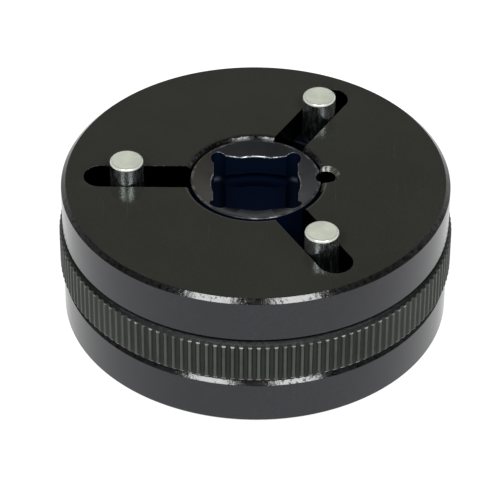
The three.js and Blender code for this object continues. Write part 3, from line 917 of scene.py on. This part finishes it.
def blackened_hub():
    """Blackened as the discs are, with painted shade inside the square."""
    n = Nodes("blackened_hub")
    cloud = n.noise(120, 5, 0.6)
    grain = n.noise(3000, 3, 0.6)
    x, y, z = n.split(n.place)
    upright = n.upright()
    # Inside is every wall of the square, and all that lies below the cones. It gets painted shade:
    # near-black, bluer colours, metallic so that they reflect little.
    from_middle = n.math("ABSOLUTE", n.math("SUBTRACT", z, MIDDLE * MM))
    below = n.ramp(from_middle, (MIDDLE - 1.6) * MM, (MIDDLE - 1.9) * MM)
    wall = n.math("MAXIMUM", below, n.ramp(upright, 0.3, 0.15))
    between = n.ramp(from_middle, (MIDDLE - 0.1) * MM, (MIDDLE - 0.2) * MM)
    inside = n.math("MULTIPLY", between, wall)
    dark = n.mix(n.ramp(cloud, *NOISE_RANGE), (0.008, 0.0084, 0.010, 1), (0.013, 0.0134, 0.015, 1))
    # Painted sheen: the left part of the cone and rim is lighter and warmer.
    left_painted_sheen = n.math("MULTIPLY", n.ramp(x, *HUB_LEFT_SHEEN_ZONE), n.ramp(upright, 0.9, 0.94))
    dark = n.mix(left_painted_sheen, dark, (0.0185, 0.0165, 0.012, 1))
    groove = n.math("ABSOLUTE", n.math("SUBTRACT", from_middle, (MIDDLE - DETENT_DEPTH) * MM))
    off_groove = n.ramp(groove, *DETENT_ZONE, 0.85, 1.0)
    up = n.math("MULTIPLY", n.ramp(upright, 0.1, 0.4), off_groove)
    inside_painted_shade = n.mix(up, (0.0017, 0.0075, 0.026, 1), (0.0003, 0.0017, 0.0065, 1))
    # x times y grows towards the square's corners; a painted highlight there, lighter and less metallic,
    # stands for the glints at the ends of the groove.
    diagonal = n.math("ABSOLUTE", n.math("MULTIPLY", x, y))
    corner = n.math("MULTIPLY", n.ramp(diagonal, 0.000034, 0.000041), n.ramp(groove, 0.0007, 0.0))
    corner = n.math("MULTIPLY", corner, n.ramp(n.radius(), *RELIEF_ZONE))
    far_near_wear_and_glint = n.ramp(n.math("ABSOLUTE", x), 0.0058, 0.0062, 1.0, 0.25)
    straight = n.math("MULTIPLY", n.ramp(diagonal, 0.000033, 0.000027), far_near_wear_and_glint)
    inside_painted_shade = n.mix(corner, inside_painted_shade, (0.06, 0.065, 0.08, 1))
    dark = n.mix(inside, dark, inside_painted_shade)
    # The square's broken edges are worn; the wear is made strongest in the middle of the far and the near
    # side, a painted highlight where those edges catch the light.
    edge = n.math("MULTIPLY", n.ramp(upright, 0.1, 0.3), n.ramp(upright, 0.945, 0.92))
    edge = n.math("MULTIPLY", edge, n.ramp(from_middle, (MIDDLE - 2) * MM, (MIDDLE - 1.6) * MM))
    edge = n.math("MULTIPLY", edge, straight)
    rim = n.ramp(n.radius(), *HUB_RIM_ZONE)
    rim = n.math("MULTIPLY", rim, n.ramp(from_middle, *HUB_RIM_HEIGHT_ZONE))
    rub = n.noise(800, 4, 0.6)
    wear = n.math("MULTIPLY", edge, n.ramp(rub, 0.42, 0.62, 0.1, 0.7))
    wear = n.blend(rim, wear, n.ramp(rub, 0.45, 0.65, 0.0, 0.1))
    corner_edge = n.ramp(n.radius(), *HUB_EDGE_ZONE)
    corner_edge = n.math("MULTIPLY", corner_edge, n.ramp(upright, 0.5, 0.6))
    colour = n.mix(wear, dark, WORN)
    rough = n.blend(inside, n.ramp(cloud, *NOISE_RANGE, 0.22, 0.3), 0.65)
    rough = n.blend(edge, rough, 0.3)
    rough = n.blend(corner_edge, rough, n.ramp(rub, 0.45, 0.6, 0.6, 0.35))
    metal = n.math("MULTIPLY", inside, n.blend(corner, 0.97, 0.2))
    metal = n.math("MAXIMUM", n.math("MULTIPLY", wear, 0.9), metal)
    n.shader.inputs["IOR"].default_value = BLACK_IOR
    return n.finish(colour, rough, metal, n.bump(grain, 0.2, FINE_BUMP))


def blackened_knurl():
    """The knurled ring: greenish black grooves, crests rubbed grey, their ends worn bright and partly
    painted highlight, and painted sheen and shade towards the sides.
    """
    n = Nodes("blackened_knurl")
    cloud = n.noise(160, 4, 0.6)
    grain = n.noise(3400, 3, 0.6)
    x, _, z = n.split(n.place)
    lower_end = (RING_BASE + KNURL_LOWER_EXTRA) * MM
    from_end = n.math("MINIMUM", n.math("SUBTRACT", z, lower_end), n.math("SUBTRACT", RING_TOP * MM, z))
    side = n.ramp(n.math("ABSOLUTE", x), *KNURL_SIDE_ZONE)
    # Crests, and the bright spots where they run into the end chamfers: partly wear, partly painted
    # highlight, dimmed towards the sides.
    crest = n.ramp(n.radius(), (RING_RADIUS - 0.04) * MM, (RING_RADIUS - 0.005) * MM)
    end = n.math("MULTIPLY", n.ramp(from_end, 0.0006, 0.00052), n.ramp(from_end, 0.00036, 0.00042))
    near = n.ramp(n.radius(), (RING_RADIUS - 0.2) * MM, (RING_RADIUS - 0.1) * MM)
    dark = n.mix(n.ramp(cloud, *NOISE_RANGE), (0.002, 0.003, 0.002, 1), (0.005, 0.0065, 0.0048, 1))
    upright = n.upright()
    # Painted sheen: the walls of the knurl are lighter towards the sides.
    side_painted_sheen = n.math("MULTIPLY", side, n.ramp(upright, 0.5, 0.3, 0.0, 0.5))
    dark = n.mix(side_painted_sheen, dark, (0.036, 0.04, 0.036, 1))
    rubbed = n.math("MULTIPLY", crest, n.ramp(cloud, 0.25, 0.6, 0.4, 1.0))
    colour = n.mix(rubbed, dark, (0.032, 0.0385, 0.033, 1))
    worn_spots_and_glints = n.math("MULTIPLY", n.math("MULTIPLY", end, near), n.ramp(n.noise(420, 3, 0.6), 0.3, 0.6))
    worn_spots_and_glints = n.math("MULTIPLY", worn_spots_and_glints, n.blend(side, 1.0, 0.3))
    colour = n.mix(n.math("MULTIPLY", worn_spots_and_glints, 0.4), colour, WORN)
    # The ring's end faces are rubbed grey next to the knurl, with painted shade under the disc and
    # towards the sides.
    flat = n.ramp(upright, 0.85, 0.95)
    rubbing = n.ramp(n.noise(1500, 4, 0.7), 0.4, 0.6)
    rubbed_top = n.mix(rubbing, (0.014, 0.016, 0.0175, 1), (0.037, 0.04, 0.0425, 1))
    ring_top_painted_shade = n.ramp(n.radius(), *KNURL_PAINTED_SHADE_ZONE)
    ring_top_painted_shade = n.math("MAXIMUM", ring_top_painted_shade, n.math("MULTIPLY", side, 0.8))
    colour = n.mix(flat, colour, n.mix(ring_top_painted_shade, rubbed_top, (0.004, 0.0045, 0.004, 1)))
    rough = n.ramp(grain, *NOISE_RANGE, 0.42, 0.6)
    n.shader.inputs["IOR"].default_value = KNURL_IOR
    mottle = n.math("ADD", grain, n.math("MULTIPLY", n.noise(1400, 3, 0.6), 2.0))
    # Painted shade: up-facing faces at the groove roots are made metallic over their dark colour so that
    # they reflect little; more towards the sides, and not on the flat ends.
    root = n.ramp(n.radius(), (RING_RADIUS - 0.12) * MM, (RING_RADIUS - 0.25) * MM)
    root_painted_shade = n.math("MULTIPLY", n.ramp(upright, 0.3, 0.5), root)
    root_painted_shade = n.math("MULTIPLY", root_painted_shade, n.blend(flat, n.blend(side, 0.35, 0.7), 0.0))
    metal = n.math("MAXIMUM", n.math("MULTIPLY", worn_spots_and_glints, 0.12), root_painted_shade)
    return n.finish(colour, rough, metal, n.bump(mottle, 0.3, KNURL_BUMP))


def bright_steel():
    """Ground pins: polished sides with fine streaks along them, and matt ends."""
    n = Nodes("bright_pin_steel")
    upright = n.upright()
    flat = n.ramp(upright, 0.96, 0.995)
    edge = n.math("MULTIPLY", n.ramp(upright, 0.08, 0.25), n.ramp(upright, 0.995, 0.96))
    streaks = n.noise(1, 4, 0.65, n.stretched((2200, 2200, 500)))
    grain = n.noise(5200, 3, 0.6)
    cloud = n.noise(500, 3, 0.6)
    marks = n.ramp(n.noise(1300, 4, 0.7), 0.62, 0.72)
    side = n.mix(n.ramp(streaks, 0.35, 0.65), (0.4, 0.45, 0.46, 1), (0.54, 0.59, 0.59, 1))
    side = n.mix(edge, side, (0.49, 0.51, 0.46, 1))
    end = n.mix(n.ramp(cloud, *NOISE_RANGE), (0.53, 0.56, 0.48, 1), (0.63, 0.66, 0.56, 1))
    end = n.mix(n.math("MULTIPLY", marks, 0.4), end, (0.25, 0.26, 0.22, 1))
    colour = n.mix(flat, side, end)
    rough = n.blend(edge, n.ramp(streaks, *NOISE_RANGE, 0.17, 0.3), 0.27)
    rough = n.blend(flat, rough, n.ramp(grain, *NOISE_RANGE, 0.42, 0.58))
    metallic = n.blend(edge, n.blend(flat, 1.0, 0.5), 0.5)
    height = n.blend(flat, streaks, grain)
    return n.finish(colour, rough, metallic, n.bump(height, 0.15, GROUND_BUMP))


def plain_metal(name, dark, light, rough_low, rough_high, metallic=1.0):
    """Inner pieces: machined metal with a little grain and unevenness."""
    n = Nodes(name)
    cloud = n.noise(300, 4, 0.6)
    grain = n.noise(3600, 3, 0.6)
    colour = n.mix(n.ramp(cloud, *NOISE_RANGE), dark, light)
    rough = n.ramp(grain, *NOISE_RANGE, rough_low, rough_high)
    return n.finish(colour, rough, metallic, n.bump(grain, 0.2, GROUND_BUMP))


# ---- assembly -------------------------------------------------------------------------------

black = blackened_steel()
black_hub = blackened_hub()
knurl = blackened_knurl()
bright = bright_steel()
screw_steel = plain_metal(
    "screw_steel", (0.012, 0.012, 0.013, 1), (0.022, 0.022, 0.023, 1), 0.35, 0.5, 0.0
)
oiled_black = plain_metal(
    "oiled_black_steel", (0.001, 0.002, 0.005, 1), (0.003, 0.005, 0.01, 1), 0.5, 0.65, 0.9
)
spring_steel = plain_metal("spring_steel", (0.22, 0.23, 0.24, 1), (0.32, 0.33, 0.34, 1), 0.25, 0.4)
blued_steel = plain_metal(
    "blued_spring_steel", (0.012, 0.014, 0.02, 1), (0.03, 0.033, 0.045, 1), 0.4, 0.55
)
bronze = plain_metal("bronze", (0.42, 0.27, 0.12, 1), (0.55, 0.37, 0.18, 1), 0.3, 0.45)

hand_over(upper_plate(), "upper_disc", "upper_plate", "housing", black)
hand_over(lower_plate(), "lower_disc", "lower_plate", "housing", black)
hand_over(drive_hub(), "square_drive_hub", "drive_hub", "housing", black_hub)
hand_over(adjusting_ring(), "knurled_ring", "adjusting_ring", "ring", knurl)

for number, angle in enumerate(PIN_ANGLES, start=1):
    body = f"pin_{number}"
    x, y = PIN_REST * math.cos(angle), PIN_REST * math.sin(angle)
    pin = moved(turn(drive_pin(f"drive_pin_{number}"), angle), x, y, 0)
    hand_over(pin, f"pin_{number}_steel", f"drive_pin_{number}", body, bright)
    block = moved(turn(slide_block(), angle), x, y, 0)
    hand_over(block, f"pin_{number}_block", f"slide_block_{number}", body, oiled_black)

upper_screw = moved(key_screw(), KEY_X, KEY_Y, base_of("upper_key_screw"))
lower_screw = turned_over(moved(key_screw(), KEY_X, KEY_Y, base_of("upper_key_screw")))
hand_over(upper_screw, "upper_grub_screw", "upper_key_screw", "housing", screw_steel)
hand_over(lower_screw, "lower_grub_screw", "lower_key_screw", "housing", screw_steel)

carried_over = {
    "follower_bush": spring_steel,
    "pin_clip": spring_steel,
    "wave_washer": blued_steel,
    "thrust_washer": bronze,
}
for node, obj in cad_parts.items():
    finish = next((material for start, material in carried_over.items() if node.startswith(start)), None)
    if finish:
        obj.data.materials.clear()
        obj.data.materials.append(finish)

# ---- camera, floor and light ----------------------------------------------------------------

CAMERA_PLACE = (0.00002, -0.36142, 0.29861)
CAMERA_PITCH = 0.6728
CAMERA_YAW = -0.0023
CAMERA_ROLL = 0.006
CAMERA_LENS = 216
CAMERA_SENSOR = 36
CAMERA_NEAR = 0.01


def make_camera():
    data = bpy.data.cameras.new("camera")
    data.lens = CAMERA_LENS
    data.sensor_width = CAMERA_SENSOR
    data.clip_start = CAMERA_NEAR
    camera = bpy.data.objects.new("camera", data)
    camera.matrix_world = (
        Matrix.Translation(CAMERA_PLACE)
        @ Matrix.Rotation(-CAMERA_YAW, 4, "Z")
        @ Matrix.Rotation(math.pi / 2 - CAMERA_PITCH, 4, "X")
        @ Matrix.Rotation(CAMERA_ROLL, 4, "Z")
    )
    bpy.context.scene.collection.objects.link(camera)
    bpy.context.scene.camera = camera


FLOOR_GLOW = 0.85  # the table is white and lit from below
FLOOR_GAP = 0.00005  # keeps the floor clear of the flat underside, in metres
FLOOR_RADIUS = 2.5


def make_floor():
    bm = bmesh.new()
    bmesh.ops.create_circle(bm, cap_ends=True, segments=96, radius=FLOOR_RADIUS)
    floor = moved(mesh_object("floor", bm), 0, 0, -FLOOR_GAP)
    n = Nodes("floor_paper")
    tone = n.ramp(n.noise(14, 3, 0.5), *NOISE_RANGE)
    colour = n.mix(tone, (0.24, 0.24, 0.24, 1), (0.26, 0.26, 0.26, 1))
    n.shader.inputs["Emission Color"].default_value = (1, 1, 1, 1)
    n.shader.inputs["Emission Strength"].default_value = FLOOR_GLOW
    floor.data.materials.append(n.finish(colour, 0.9, 0.0))
    one_sided = n.add("ShaderNodeMixShader")
    n.feed(one_sided.inputs[0], n.add("ShaderNodeNewGeometry").outputs["Backfacing"])
    n.feed(one_sided.inputs[1], n.shader.outputs[0])
    n.feed(one_sided.inputs[2], n.add("ShaderNodeBsdfTransparent").outputs[0])
    n.feed(n.tree.nodes["Material Output"].inputs["Surface"], one_sided.outputs[0])


SOFTBOX_ELEVATION = math.radians(48)
SOFTBOX_DISTANCE = 1.1
SOFTBOX_SIZE = (0.36, 0.34)
SOFTBOX_POWER = 8.6
SOFTBOX_COLOUR = (0.985, 1, 0.985)


def softbox(name, azimuth):
    """An area light that looks at the wrench. Azimuth 0 is in front, 90 to the right."""
    data = bpy.data.lights.new(name, "AREA")
    data.shape = "RECTANGLE"
    data.size, data.size_y = SOFTBOX_SIZE
    data.energy = SOFTBOX_POWER
    data.color = SOFTBOX_COLOUR
    light = bpy.data.objects.new(name, data)
    a, e = math.radians(azimuth), SOFTBOX_ELEVATION
    place = Vector((math.sin(a) * math.cos(e), -math.cos(a) * math.cos(e), math.sin(e)))
    place *= SOFTBOX_DISTANCE
    target = Vector((0, 0, MIDDLE * MM))
    light.location = target + place
    light.rotation_euler = (-place).to_track_quat("-Z", "Y").to_euler()
    bpy.context.scene.collection.objects.link(light)


WORLD_HORIZON = 1.4
WORLD_MIDDLE = 0.3
WORLD_TOP = 0.1
WORLD_MIDDLE_HEIGHT = 0.62
WORLD_TOP_HEIGHT = 0.95
WORLD_BACK = 0.4  # the background's strength straight behind the wrench
WORLD_BACK_FROM = 0.75
WORLD_BACK_TO = 0.97


def make_world():
    """A white horizon that falls off to a dim ceiling."""
    world = bpy.data.worlds.new("studio")
    bpy.context.scene.world = world
    world.use_nodes = True
    nodes, links = world.node_tree.nodes, world.node_tree.links
    background = nodes["Background"]
    background.inputs["Color"].default_value = (1, 1, 1, 1)
    split = nodes.new("ShaderNodeSeparateXYZ")
    links.new(nodes.new("ShaderNodeTexCoord").outputs["Generated"], split.inputs[0])
    ramp = nodes.new("ShaderNodeValToRGB")
    for place, level in ((WORLD_MIDDLE_HEIGHT, WORLD_MIDDLE), (WORLD_TOP_HEIGHT, WORLD_TOP)):
        ramp.color_ramp.elements.new(place).color = (level, level, level, 1)
    ramp.color_ramp.elements[0].color = (WORLD_HORIZON, WORLD_HORIZON, WORLD_HORIZON, 1)
    ramp.color_ramp.elements[-1].color = (WORLD_TOP, WORLD_TOP, WORLD_TOP, 1)
    links.new(split.outputs["Z"], ramp.inputs["Fac"])
    links.new(ramp.outputs["Color"], background.inputs["Color"])
    back = nodes.new("ShaderNodeMapRange")
    links.new(split.outputs["Y"], back.inputs["Value"])
    back.inputs["From Min"].default_value = WORLD_BACK_FROM
    back.inputs["From Max"].default_value = WORLD_BACK_TO
    back.inputs["To Min"].default_value = 1.0
    back.inputs["To Max"].default_value = WORLD_BACK
    links.new(back.outputs["Result"], background.inputs["Strength"])


make_camera()
make_floor()
make_world()
softbox("left softbox", -27.5)
softbox("right softbox", 26.5)
bpy.context.scene.view_settings.view_transform = "Standard"
